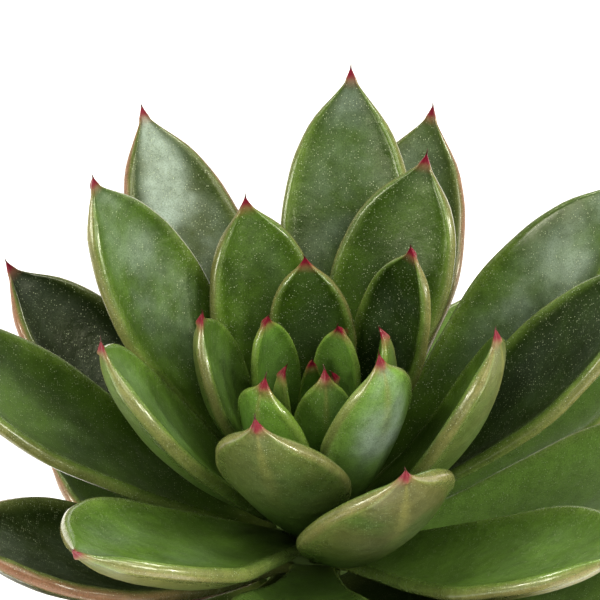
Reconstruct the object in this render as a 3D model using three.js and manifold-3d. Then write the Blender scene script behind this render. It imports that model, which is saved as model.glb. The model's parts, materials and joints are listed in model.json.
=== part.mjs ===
// A rosette succulent of the Echeveria agavoides form, growing in a plain clay pot.
//
// Millimetres, +Z up. The origin is the centre of the pot's underside.
// The plant stands in the potting mix on a short stem. Its leaves leave the crown one after
// another, each a golden angle round from the last: leaf_01 is the youngest, in the bud, and
// the highest number is the oldest, lowest leaf.

import * as THREE from 'three';
import { mergeVertices } from 'three/addons/utils/BufferGeometryUtils.js';
import Module from 'manifold-3d';

const wasm = await Module();
wasm.setup();

// ---- Pot --------------------------------------------------------------------------------

const POT_HEIGHT = 84;
const POT_RIM_RADIUS = 48; // outside, at the top of the rim band
const POT_FOOT_RADIUS = 33; // outside, at the underside
const POT_WALL = 4.5;
const POT_FLOOR = 6;
const RIM_BAND_HEIGHT = 17;
const RIM_BAND_STEP = 2.5; // how far the band stands out from the body below it
const DRAIN_RADIUS = 6;
const EDGE_ROUND = 1.6;
const POT_SIDES = 56;

// ---- Potting mix ------------------------------------------------------------------------

const SOIL_BELOW_RIM = 7;
const SOIL_MOUND = 3; // rise of the surface from the wall to the stem
const SOIL_SIDES = 36;
const SOIL_RINGS = [0.75, 0.5, 0.25]; // places of the surface's rings, from the wall inward

// ---- Stem and crown ---------------------------------------------------------------------

const STEM_RADIUS = 6;
const STEM_BURIED = 26;
const CROWN_RADIUS = 10.8;
const CROWN_HEIGHT = 31;
const CROWN_FLARE = 6; // height over which the stem widens into the crown
const CROWN_RINGS = [0.12, 0.3, 0.5, 0.68, 0.83, 0.94]; // heights, shares of the crown's
const STEM_TAPER = [[1, 0.3], [0.8, 0.75], [0.4, 1]]; // buried part: radius and depth, as shares
const STEM_SIDES = 24;

// ---- Leaves -----------------------------------------------------------------------------

const LEAF_COUNT = 48;
const GOLDEN_ANGLE = 137.5;
const BASE_CROWDING = 1.5; // above 1, the bases of young leaves stand closer than old ones'
const FIRST_LEAF_AZIMUTH = 294; // degrees from +X toward +Y

const YOUNGEST_LEAF_LENGTH = 26;
const OLDEST_LEAF_LENGTH = 83;
const LENGTH_GROWTH = [-1, 30]; // places of the leaves where growth in length starts and ends
const YOUNGEST_LEAF_WIDTH = 4.5;
const OLDEST_LEAF_WIDTH = 27;
const WIDTH_GROWTH = [1, 22];
const LEAF_DEPTH_SHARE = 0.27; // depth from the margins to the underside, share of the width
const YOUNG_DEPTH_EXTRA = 1.2; // young leaves are plumper by this depth
const FACE_HOLLOW_SHARE = 0.22; // how deep the upper face is dished, share of the depth

const STEEPEST_TILT = 92; // of the chord from base to tip, degrees above level
const TILT_AT_START = 106;
const TILT_LOSS = 0.031; // share of its tilt that each leaf loses to the next
const SAG_PLACE = 33; // from this place on, each older leaf sags a little more
const SAG = 1.35; // degrees for each place past it
const LEAF_CURL = 22; // how many degrees steeper the tip points than the base

const LEAF_BASE_SPREAD = 0.82; // width of a leaf's base, share of the crown's radius there
const LEAF_BASE_LEAST = 1.1; // added to the radius above, for the leaves round the apex
const LEAF_BASE_DEPTH = 0.36; // share of the base's width

// ---- Clearances -------------------------------------------------------------------------

const JOIN_GAP = 0.3; // between pieces that rest on or in each other
const LEAF_GAP = 0.35; // between neighbouring leaves
const OPENING_STEP = 0.75; // degrees that a leaf opens at a time to clear the younger ones
const MOST_OPENING = 12; // past this a leaf stands out from the crown instead
const STANDING_STEP = 0.2;
const EDGE_SHARES = [0, 0.2, 0.4, 0.6, 0.8]; // where along its edges a leaf's clearance is tested
const WELD = 1e-4; // points closer than this are one point
const LEAF_OVER_RIM = 1; // from the pot's rim up to the lowest leaf that crosses it
const LEAF_OVER_SOIL = 4; // from the mix's surface up to the lowest leaf

// ---- Leaf outline -----------------------------------------------------------------------

// Across its length a leaf widens to just past the middle and then runs to a spine. Each row
// holds a place along the leaf, the half width there and the depth there, as shares of the
// leaf's length, greatest half width and greatest depth. The base has sizes of its own.
const LEAF_OUTLINE = [
  [0.2, 0.54, 0.66],
  [0.42, 0.84, 0.94],
  [0.6, 1, 1],
  [0.74, 0.89, 0.86],
  [0.85, 0.65, 0.62],
  [0.93, 0.34, 0.36],
  [0.975, 0.12, 0.16],
];
const SECTION_POINTS = 12;
const MIDRIB_STEPS = 24;

// How single leaves stray from the rule, by leaf number. Turn, rise, roll and curl are in
// degrees; sweep bends a leaf sideways by a share of its length; drop lowers its base, in
// millimetres; reach is a factor on its length and girth on its width.
const STRAYS = {
  1: { reach: 0.72 },
  2: { reach: 0.76 },
  3: { rise: -5, reach: 1.04 },
  4: { reach: 0.8 },
  5: { turn: 3, rise: -2 },
  6: { reach: 0.84 },
  7: { rise: -3, girth: 1.15 },
  8: { turn: 2, reach: 1.08, girth: 1.3 },
  9: { turn: 4, reach: 1.1, girth: 1.2 },
  10: { turn: 4, rise: -2, girth: 1.12 },
  11: { turn: -3, rise: 3, curl: 10, reach: 1.08 },
  12: { turn: 10, girth: 1.14 },
  13: { turn: 6, sweep: 0.05, girth: 1.05 },
  14: { turn: 2, rise: 6, reach: 1.07, girth: 1.12 },
  15: { turn: 4, rise: 2, reach: 0.94 },
  16: { turn: 9, rise: 5, girth: 0.9 },
  17: { turn: 5, rise: 1, sweep: -0.09, drop: 1.5, reach: 1.03, girth: 1.1 },
  18: { turn: -2, reach: 0.97, girth: 0.95 },
  19: { turn: 1, rise: 4, curl: 14, reach: 1.04 },
  20: { turn: -3, reach: 1.02 },
  21: { turn: 1, sweep: -0.04, girth: 0.94 },
  22: { turn: 3, rise: 2.5, roll: 6, drop: 2.8, girth: 1.15 },
  23: { rise: 7, sweep: 0.05, reach: 1.09, girth: 0.95 },
  24: { turn: -7, rise: -3, reach: 1.12 },
  25: { rise: -10, roll: 3, curl: -16, reach: 1.09, girth: 1.25 },
  26: { turn: -16.5, sweep: 0.05, reach: 1.06 },
  27: { turn: -3, rise: -9, curl: -8, drop: 2.6, reach: 1.05, girth: 1.12 },
  28: { rise: -5, reach: 1.11, girth: 1.05 },
  29: { turn: -10, rise: -3, reach: 1.04 },
  30: { drop: 2 },
  31: { turn: -9, rise: 2, reach: 1.02, girth: 0.96 },
  32: { rise: -7, drop: 2 },
  33: { rise: -5, roll: 4, girth: 1.26 },
  34: { turn: -5, reach: 1.01 },
  35: { drop: 2 },
  36: { turn: -10, rise: 4, reach: 0.91 },
  37: { drop: 1.5 },
  39: { rise: -2, reach: 0.9 },
  40: { rise: 2, drop: 1.5, reach: 0.92 },
  41: { turn: -24, rise: 4, reach: 0.6 },
  42: { rise: -2, reach: 0.85 },
  43: { reach: 0.9 },
  44: { turn: -8, rise: -2, drop: 1, reach: 0.88 },
  45: { reach: 0.84 },
  46: { turn: -7, rise: 9, reach: 1.08 },
  47: { turn: -3, rise: 3, reach: 0.85 },
  48: { reach: 0.88 },
};

const NO_STRAY = { turn: 0, rise: 0, roll: 0, curl: 0, sweep: 0, drop: 0, reach: 1, girth: 1 };

const degrees = THREE.MathUtils.degToRad;
const { lerp, smoothstep } = THREE.MathUtils;

// ---- Solids -----------------------------------------------------------------------------

/** Turns a closed geometry into a solid that can be tested against others. */
function solidOf(geometry, matrix) {
  const bare = new THREE.BufferGeometry();
  bare.setAttribute('position', geometry.getAttribute('position').clone());
  bare.setIndex(geometry.getIndex());
  bare.applyMatrix4(matrix);
  const merged = mergeVertices(bare, WELD);
  return new wasm.Manifold(
    new wasm.Mesh({
      numProp: 3,
      vertProperties: new Float32Array(merged.getAttribute('position').array),
      triVerts: new Uint32Array(merged.getIndex().array),
    }),
  );
}

/** True where two solids share any space. */
function collide(a, b) {
  const boxA = a.boundingBox();
  const boxB = b.boundingBox();
  const apart = [0, 1, 2].some((i) => boxA.min[i] > boxB.max[i] || boxB.min[i] > boxA.max[i]);
  return !apart && !a.intersect(b).isEmpty();
}

/** A turned piece: the profile's points are [radius, height], from axis to axis. */
function turned(profile, sides) {
  const points = profile.map(([radius, height]) => new THREE.Vector2(radius, height));
  const geometry = new THREE.LatheGeometry(points, sides);
  geometry.rotateX(Math.PI / 2);
  return geometry;
}

/** Points round a convex corner of a profile, from one direction to another in degrees. */
function rounded([radius, height], round, from, to, steps = 3) {
  return Array.from({ length: steps + 1 }, (_, i) => {
    const angle = degrees(lerp(from, to, i / steps));
    return [radius + round * Math.cos(angle), height + round * Math.sin(angle)];
  });
}

function named(name, geometry, material) {
  const mesh = new THREE.Mesh(geometry, material);
  mesh.name = name;
  return mesh;
}

// ---- Finishes ---------------------------------------------------------------------------

const clay = new THREE.MeshStandardMaterial({ color: '#a9603f', roughness: 0.85, metalness: 0 });
const pottingMix = new THREE.MeshStandardMaterial({ color: '#33261c', roughness: 1, metalness: 0 });
const stemBark = new THREE.MeshStandardMaterial({ color: '#7d7a4c', roughness: 0.8, metalness: 0 });

/** Young leaves are yellower; old ones are a deeper, bluer green. */
function leafFinish(age) {
  const color = new THREE.Color('#5f8a3a').lerp(new THREE.Color('#3f5f3f'), age);
  return new THREE.MeshStandardMaterial({ color, roughness: 0.45, metalness: 0 });
}

// ---- Pot and potting mix ----------------------------------------------------------------

/** Outside radius of the pot's tapered body, without the rim band. */
function bodyRadius(height) {
  return lerp(POT_FOOT_RADIUS, POT_RIM_RADIUS - RIM_BAND_STEP, height / POT_HEIGHT);
}

/** Inside radius of the pot. */
function boreRadius(height) {
  return bodyRadius(height) - POT_WALL;
}

function buildPot() {
  const bandFoot = POT_HEIGHT - RIM_BAND_HEIGHT;
  const r = EDGE_ROUND;
  return turned(
    [
      [DRAIN_RADIUS, POT_FLOOR],
      [DRAIN_RADIUS, 0],
      ...rounded([POT_FOOT_RADIUS - r, r], r, -90, -10),
      [bodyRadius(bandFoot), bandFoot],
      ...rounded([bodyRadius(bandFoot) + RIM_BAND_STEP - r, bandFoot + r], r, -90, 0),
      ...rounded([POT_RIM_RADIUS - r, POT_HEIGHT - r], r, 0, 90),
      ...rounded([boreRadius(POT_HEIGHT) + r, POT_HEIGHT - r], r, 90, 180),
      [boreRadius(POT_FLOOR), POT_FLOOR],
      [DRAIN_RADIUS, POT_FLOOR],
    ],
    POT_SIDES,
  );
}

/** Height of the mix's surface: a low mound that rises toward the stem. */
function soilHeight(radius) {
  const edge = boreRadius(POT_HEIGHT - SOIL_BELOW_RIM);
  const rise = 1 - smoothstep(radius, STEM_RADIUS, edge);
  return POT_HEIGHT - SOIL_BELOW_RIM + SOIL_MOUND * rise;
}

function buildSoil(socket) {
  const bottom = POT_FLOOR + JOIN_GAP;
  const edge = boreRadius(POT_HEIGHT - SOIL_BELOW_RIM) - JOIN_GAP;
  const innermost = socket[0][0];
  const surface = SOIL_RINGS.map((share) => {
    const radius = lerp(innermost, edge, share);
    return [radius, soilHeight(radius)];
  });
  return turned(
    [
      [0, bottom],
      [boreRadius(bottom) - JOIN_GAP, bottom],
      [edge, soilHeight(edge)],
      ...surface,
      [innermost, soilHeight(innermost)],
      ...socket,
    ],
    SOIL_SIDES,
  );
}

// ---- Stem -------------------------------------------------------------------------------

/** Radius of the domed crown at a height above its foot. */
function crownRadius(height) {
  return CROWN_RADIUS * Math.sqrt(1 - (height / CROWN_HEIGHT) ** 2);
}

/** The part of the stem's profile below the mix, grown by a gap, from the top down. */
function buriedProfile(gap) {
  const top = soilHeight(STEM_RADIUS);
  const sides = STEM_TAPER.map(([radius, depth]) => [
    STEM_RADIUS * radius + gap,
    top - STEM_BURIED * depth - (depth === 1 ? gap : 0),
  ]);
  return [...sides, [0, top - STEM_BURIED - gap]];
}

/** The crown's profile from the stem's neck up to the apex; foot is the crown's foot. */
function crownProfile(foot) {
  const dome = CROWN_RINGS.map((share) => {
    const height = CROWN_HEIGHT * share;
    return [crownRadius(height), foot + height];
  });
  return [
    [STEM_RADIUS, foot - CROWN_FLARE],
    [CROWN_RADIUS, foot],
    ...dome,
    [0, foot + CROWN_HEIGHT],
  ];
}

function buildStem(crownFoot) {
  return turned([...buriedProfile(0).reverse(), ...crownProfile(crownFoot)], STEM_SIDES);
}

// ---- Leaves -----------------------------------------------------------------------------

/** Every size of the leaf with this number, 1 being the youngest. */
function leafPlan(number) {
  const place = number - 1;
  const stray = { ...NO_STRAY, ...STRAYS[number] };
  const growth = smoothstep(place, ...LENGTH_GROWTH);
  const spread = smoothstep(place, ...WIDTH_GROWTH);
  const length = lerp(YOUNGEST_LEAF_LENGTH, OLDEST_LEAF_LENGTH, growth) * stray.reach;
  const width = lerp(YOUNGEST_LEAF_WIDTH, OLDEST_LEAF_WIDTH, spread) * stray.girth;
  const tilt = Math.min(STEEPEST_TILT, TILT_AT_START * Math.exp(-TILT_LOSS * place));
  const sag = SAG * Math.max(0, place - SAG_PLACE);
  const climb = 1 - ((place + 0.5) / LEAF_COUNT) ** BASE_CROWDING;
  const baseHeight = CROWN_HEIGHT * climb - stray.drop;
  const baseWidth = LEAF_BASE_SPREAD * (crownRadius(baseHeight) + LEAF_BASE_LEAST);
  return {
    azimuth: FIRST_LEAF_AZIMUTH - GOLDEN_ANGLE * place + stray.turn,
    tilt: tilt - sag + stray.rise,
    curl: LEAF_CURL + stray.curl,
    roll: stray.roll,
    sweep: stray.sweep,
    length,
    halfWidth: width / 2,
    depth: width * LEAF_DEPTH_SHARE + YOUNG_DEPTH_EXTRA * (1 - spread),
    baseHeight,
    baseHalfWidth: baseWidth / 2,
    baseDepth: baseWidth * LEAF_BASE_DEPTH,
    standOff: 0,
  };
}

/** Points along a leaf's midrib, in the plane x outward and z up, at shares of its length. */
function midrib(plan, share) {
  const lowest = degrees(plan.tilt - plan.curl / 2);
  const bend = degrees(plan.curl);
  const point = new THREE.Vector3();
  for (let i = 0; i < MIDRIB_STEPS; i += 1) {
    const angle = lowest + (bend * share * (i + 0.5)) / MIDRIB_STEPS;
    point.x += (plan.length * share * Math.cos(angle)) / MIDRIB_STEPS;
    point.z += (plan.length * share * Math.sin(angle)) / MIDRIB_STEPS;
  }
  point.y = plan.length * plan.sweep * share * share;
  return { point, angle: lowest + bend * share };
}

/** One ring of points round a leaf, grown outward by a gap. */
function leafRing(plan, share, halfWidth, depth, gap) {
  const { point, angle } = midrib(plan, share);
  const roll = degrees(plan.roll);
  const facing = new THREE.Vector3(-Math.sin(angle), 0, Math.cos(angle));
  const side = new THREE.Vector3(0, 1, 0);
  const across = side.clone().multiplyScalar(Math.cos(roll));
  across.addScaledVector(facing, Math.sin(roll));
  const up = facing.clone().multiplyScalar(Math.cos(roll));
  up.addScaledVector(side, -Math.sin(roll));
  return Array.from({ length: SECTION_POINTS }, (_, i) => {
    const turn = (i / SECTION_POINTS) * 2 * Math.PI;
    const hollow = FACE_HOLLOW_SHARE * depth * Math.cos(turn) ** 2;
    const drop = Math.cos(turn) > 0 ? hollow : -depth * Math.cos(turn);
    const lift = depth / 2 - drop + gap * Math.cos(turn);
    const reach = (halfWidth + gap) * Math.sin(turn);
    return point.clone().addScaledVector(across, reach).addScaledVector(up, lift);
  });
}

/** A closed leaf: rings from base to tip, a centre on the base and one point at the tip. */
function leafGeometry(plan, gap = 0) {
  const rings = [leafRing(plan, 0, plan.baseHalfWidth, plan.baseDepth, gap)];
  LEAF_OUTLINE.forEach(([share, width, depth]) => {
    rings.push(leafRing(plan, share, plan.halfWidth * width, plan.depth * depth, gap));
  });
  const points = rings.flat();
  const baseCentre = points.length;
  points.push(midrib(plan, 0).point);
  const tip = points.length;
  points.push(midrib(plan, 1 + gap / plan.length).point);

  const faces = [];
  const last = (rings.length - 1) * SECTION_POINTS;
  for (let i = 0; i < SECTION_POINTS; i += 1) {
    const next = (i + 1) % SECTION_POINTS;
    faces.push(baseCentre, i, next);
    for (let ring = 0; ring < rings.length - 1; ring += 1) {
      const here = ring * SECTION_POINTS;
      const there = here + SECTION_POINTS;
      faces.push(here + i, there + i, there + next);
      faces.push(here + i, there + next, here + next);
    }
    faces.push(last + i, tip, last + next);
  }
  const geometry = new THREE.BufferGeometry();
  const coordinates = points.flatMap((p) => [...p]);
  geometry.setAttribute('position', new THREE.Float32BufferAttribute(coordinates, 3));
  geometry.setIndex(faces);
  return geometry;
}

/** Where a leaf stands: its base just off the crown's surface, turned to its azimuth. */
function leafPlacement(plan) {
  const radius = crownRadius(plan.baseHeight);
  const outward = Math.atan2(plan.baseHeight / CROWN_HEIGHT ** 2, radius / CROWN_RADIUS ** 2);
  const slant = outward - degrees(plan.tilt - plan.curl / 2);
  const heel = (plan.baseDepth / 2 + LEAF_GAP) * Math.abs(Math.sin(slant));
  const stand = JOIN_GAP + heel + plan.standOff;
  const reach = radius + stand * Math.cos(outward);
  const azimuth = degrees(plan.azimuth);
  const placement = new THREE.Matrix4().makeRotationZ(azimuth);
  return placement.setPosition(
    reach * Math.cos(azimuth),
    reach * Math.sin(azimuth),
    plan.baseHeight + stand * Math.sin(outward),
  );
}

/** True if a leaf, grown by the gap between leaves, touches nothing that already stands. */
function standsClear(plan, standing) {
  const grown = solidOf(leafGeometry(plan, LEAF_GAP), leafPlacement(plan));
  return !standing.some((other) => collide(grown, other));
}

/** Places the leaves from the bud outward; each opens until it clears the younger ones. */
function growLeaves() {
  const crownOnly = turned([[0, -CROWN_FLARE], ...crownProfile(0)], STEM_SIDES);
  const crown = solidOf(crownOnly, new THREE.Matrix4());
  const standing = [crown];
  const leaves = [];
  for (let number = 1; number <= LEAF_COUNT; number += 1) {
    const plan = leafPlan(number);
    const start = plan.tilt;
    while (!standsClear(plan, standing)) {
      if (start - plan.tilt < MOST_OPENING) {
        plan.tilt -= OPENING_STEP;
      } else {
        plan.standOff += STANDING_STEP;
      }
    }
    const geometry = leafGeometry(plan);
    const placement = leafPlacement(plan);
    standing.push(solidOf(geometry, placement));
    leaves.push({ number, geometry, placement });
  }
  return leaves;
}

// ---- Assembly ---------------------------------------------------------------------------

/** Visits points along every edge of a placed leaf. */
function eachEdgePoint({ geometry, placement }, visit) {
  const placed = geometry.clone().applyMatrix4(placement);
  const position = placed.getAttribute('position');
  const faces = placed.getIndex().array;
  const start = new THREE.Vector3();
  const end = new THREE.Vector3();
  faces.forEach((corner, i) => {
    const next = i % 3 === 2 ? i - 2 : i + 1;
    start.fromBufferAttribute(position, corner);
    end.fromBufferAttribute(position, faces[next]);
    EDGE_SHARES.forEach((share) => visit(start.clone().lerp(end, share)));
  });
}

/** How high the crown's foot stands so that every leaf clears the pot's rim and the mix. */
function crownFootHeight(leaves) {
  const mouth = boreRadius(POT_HEIGHT) - EDGE_ROUND;
  let foot = 0;
  leaves.forEach((leaf) => {
    eachEdgePoint(leaf, ({ x, y, z }) => {
      const radius = Math.hypot(x, y);
      if (radius < mouth) {
        foot = Math.max(foot, soilHeight(radius) + LEAF_OVER_SOIL - z);
      } else if (radius < POT_RIM_RADIUS + LEAF_OVER_RIM) {
        foot = Math.max(foot, POT_HEIGHT + LEAF_OVER_RIM - z);
      }
    });
  });
  return foot;
}

const leaves = growLeaves();
const crownFoot = crownFootHeight(leaves);

const plant = new THREE.Group();
plant.position.z = crownFoot;
leaves.forEach(({ number, geometry, placement }) => {
  const name = `leaf_${String(number).padStart(2, '0')}`;
  const leaf = named(name, geometry, leafFinish((number - 1) / (LEAF_COUNT - 1)));
  leaf.applyMatrix4(placement);
  plant.add(leaf);
});

const pottedSucculent = new THREE.Group();
pottedSucculent.name = 'potted_succulent';
pottedSucculent.add(named('pot', buildPot(), clay));
pottedSucculent.add(named('soil', buildSoil(buriedProfile(JOIN_GAP)), pottingMix));
pottedSucculent.add(named('stem', buildStem(crownFoot), stemBark));
pottedSucculent.add(plant);

export default pottedSucculent;
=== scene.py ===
"""A rosette succulent in a clay pot, dressed for a studio picture.

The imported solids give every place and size. Each leaf is drawn again from its own solid as a
smooth, fleshy shape with a rolled margin, a keel and a red spine. The pot, the potting mix and
the stem are turned again from their solids' own profiles. Lengths are metres, +Z is up.
"""

import json
import logging
import math
from dataclasses import dataclass, field
from enum import Enum
from typing import Optional, Union

import bmesh
import bpy
import numpy as np
from mathutils import Matrix, Vector, noise


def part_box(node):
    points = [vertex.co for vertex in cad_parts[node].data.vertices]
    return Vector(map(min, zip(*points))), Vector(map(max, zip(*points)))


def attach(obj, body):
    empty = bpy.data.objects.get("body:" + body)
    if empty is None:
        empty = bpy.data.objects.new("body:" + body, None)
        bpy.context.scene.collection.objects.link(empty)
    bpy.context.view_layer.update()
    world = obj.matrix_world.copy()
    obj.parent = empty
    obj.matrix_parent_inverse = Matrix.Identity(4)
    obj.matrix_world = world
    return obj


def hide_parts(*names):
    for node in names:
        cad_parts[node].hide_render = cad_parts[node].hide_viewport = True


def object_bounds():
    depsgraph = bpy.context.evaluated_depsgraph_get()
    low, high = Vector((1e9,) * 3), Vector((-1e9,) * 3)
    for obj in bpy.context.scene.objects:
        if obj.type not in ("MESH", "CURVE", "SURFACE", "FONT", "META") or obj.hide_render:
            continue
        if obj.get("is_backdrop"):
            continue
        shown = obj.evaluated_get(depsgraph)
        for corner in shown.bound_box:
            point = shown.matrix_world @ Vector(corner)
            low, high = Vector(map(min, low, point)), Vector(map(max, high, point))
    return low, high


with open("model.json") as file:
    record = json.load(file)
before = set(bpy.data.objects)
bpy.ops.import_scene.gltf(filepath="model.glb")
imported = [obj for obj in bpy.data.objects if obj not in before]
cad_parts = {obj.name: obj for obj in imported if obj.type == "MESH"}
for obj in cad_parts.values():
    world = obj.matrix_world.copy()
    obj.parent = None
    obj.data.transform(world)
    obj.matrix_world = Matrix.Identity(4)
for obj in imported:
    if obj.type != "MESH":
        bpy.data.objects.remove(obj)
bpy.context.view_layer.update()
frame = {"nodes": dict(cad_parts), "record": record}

LOG = logging.getLogger("potted_succulent")
MM = 0.001
WELD = 2e-6  # points of a solid nearer than this are one
ON_AXIS = 1e-5  # a radius under this lies on the axis
WARM = (1.0, 0.97, 0.88)
ROOT = "root"

Colour = tuple[float, float, float]


def shade(code: str) -> Colour:
    """Turns a hex colour into linear red, green and blue.

    Args:
        code: Six hex digits after a hash sign, as a colour chart gives them.

    Returns:
        The three linear values.
    """
    channels = (int(code[i : i + 2], 16) / 255 for i in (1, 3, 5))
    red, green, blue = (
        c / 12.92 if c <= 0.04045 else ((c + 0.055) / 1.055) ** 2.4 for c in channels
    )
    return red, green, blue


def eased(value: np.ndarray, low: float, high: float) -> np.ndarray:
    """Eases a value from 0 at low to 1 at high.

    Args:
        value: The values to ease.
        low: Where the result leaves 0.
        high: Where the result reaches 1.

    Returns:
        The eased values.
    """
    t = np.clip((value - low) / (high - low), 0.0, 1.0)
    return t * t * (3.0 - 2.0 * t)


def through(knots: np.ndarray, values: np.ndarray, at: np.ndarray) -> np.ndarray:
    """Draws a smooth curve through values that doesn't overshoot them.

    Args:
        knots: Where the values are known, rising.
        values: One row of values for each knot.
        at: Where the curve is wanted.

    Returns:
        One row of values for each place in at.
    """
    gaps = np.diff(knots)[:, None]
    slopes = np.diff(values, axis=0) / gaps
    inner = 2.0 * slopes[:-1] * slopes[1:]
    total = slopes[:-1] + slopes[1:]
    safe = np.where(np.abs(total) < 1e-12, 1.0, total)
    middle = np.where(slopes[:-1] * slopes[1:] > 0, inner / safe, 0.0)
    tangents = np.vstack([slopes[:1], middle, slopes[-1:]])
    k = np.clip(np.searchsorted(knots, at, side="right") - 1, 0, len(knots) - 2)
    h = gaps[k]
    t = ((at - knots[k])[:, None]) / h
    rest = 1.0 - t
    return (
        values[k] * (1 + 2 * t) * rest**2
        + tangents[k] * h * t * rest**2
        + values[k + 1] * t**2 * (3 - 2 * t)
        - tangents[k + 1] * h * t**2 * rest
    )


def along_curve(knots: np.ndarray, values: np.ndarray, at: np.ndarray) -> np.ndarray:
    """Draws a flowing curve through points, for places and directions.

    Args:
        knots: Where the values are known, rising.
        values: One row of values for each knot.
        at: Where the curve is wanted.

    Returns:
        One row of values for each place in at.
    """
    tangents = np.gradient(values, knots, axis=0)
    k = np.clip(np.searchsorted(knots, at, side="right") - 1, 0, len(knots) - 2)
    h = np.diff(knots)[k][:, None]
    t = ((at - knots[k])[:, None]) / h
    rest = 1.0 - t
    return (
        values[k] * (1 + 2 * t) * rest**2
        + tangents[k] * h * t * rest**2
        + values[k + 1] * t**2 * (3 - 2 * t)
        - tangents[k + 1] * h * t**2 * rest
    )


def unit(rows: np.ndarray) -> np.ndarray:
    """Scales each row to a length of one."""
    return rows / np.linalg.norm(rows, axis=-1, keepdims=True)


def add_piece(
    name: str,
    points: np.ndarray,
    faces: list[tuple[int, ...]],
    material: bpy.types.Material,
    node: Optional[str],
    traits: Optional[dict[str, np.ndarray]] = None,
) -> bpy.types.Object:
    """Makes a smooth mesh piece, hangs it on the object and gives it its finish.

    Args:
        name: The piece's name.
        points: One row of x, y and z for each point.
        faces: The points of each face, in order round its outside.
        material: The finish.
        node: The solid that the piece stands for, if it stands for one.
        traits: Rows of three values for each point, by name, which the finish reads.

    Returns:
        The new object.
    """
    mesh = bpy.data.meshes.new(name)
    mesh.from_pydata(points.tolist(), [], faces)
    mesh.polygons.foreach_set("use_smooth", [True] * len(mesh.polygons))
    for trait, rows in (traits or {}).items():
        layer = mesh.attributes.new(trait, "FLOAT_VECTOR", "POINT")
        layer.data.foreach_set("vector", np.asarray(rows, np.float32).ravel())
    mesh.materials.append(material)
    mesh.update()
    piece = bpy.data.objects.new(name, mesh)
    bpy.context.scene.collection.objects.link(piece)
    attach(piece, ROOT)
    if node is not None:
        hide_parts(node)
    return piece


def ring_faces(rings: int, sides: int) -> list[tuple[int, ...]]:
    """Joins rings of points into a tube of four-sided faces.

    Args:
        rings: How many rings there are.
        sides: How many points each ring has.

    Returns:
        The faces, facing out where each ring turns left about the way the rings go.
    """
    faces = []
    for ring in range(rings - 1):
        for i in range(sides):
            j = (i + 1) % sides
            here, there = ring * sides, (ring + 1) * sides
            faces.append((here + i, here + j, there + j, there + i))
    return faces


def capped_faces(rings: int, sides: int) -> list[tuple[int, ...]]:
    """Joins rings into a tube and closes both ends with fans.

    Args:
        rings: How many rings there are.
        sides: How many points each ring has.

    Returns:
        The faces. The first and last rings meet two points that follow the rings' own.
    """
    faces = ring_faces(rings, sides)
    first, last, end = rings * sides, rings * sides + 1, (rings - 1) * sides
    for i in range(sides):
        j = (i + 1) % sides
        faces.append((first, j, i))
        faces.append((last, end + i, end + j))
    return faces


# ---- Finishes ---------------------------------------------------------------------------


Value = Union[bpy.types.NodeSocket, float, Colour]


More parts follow.
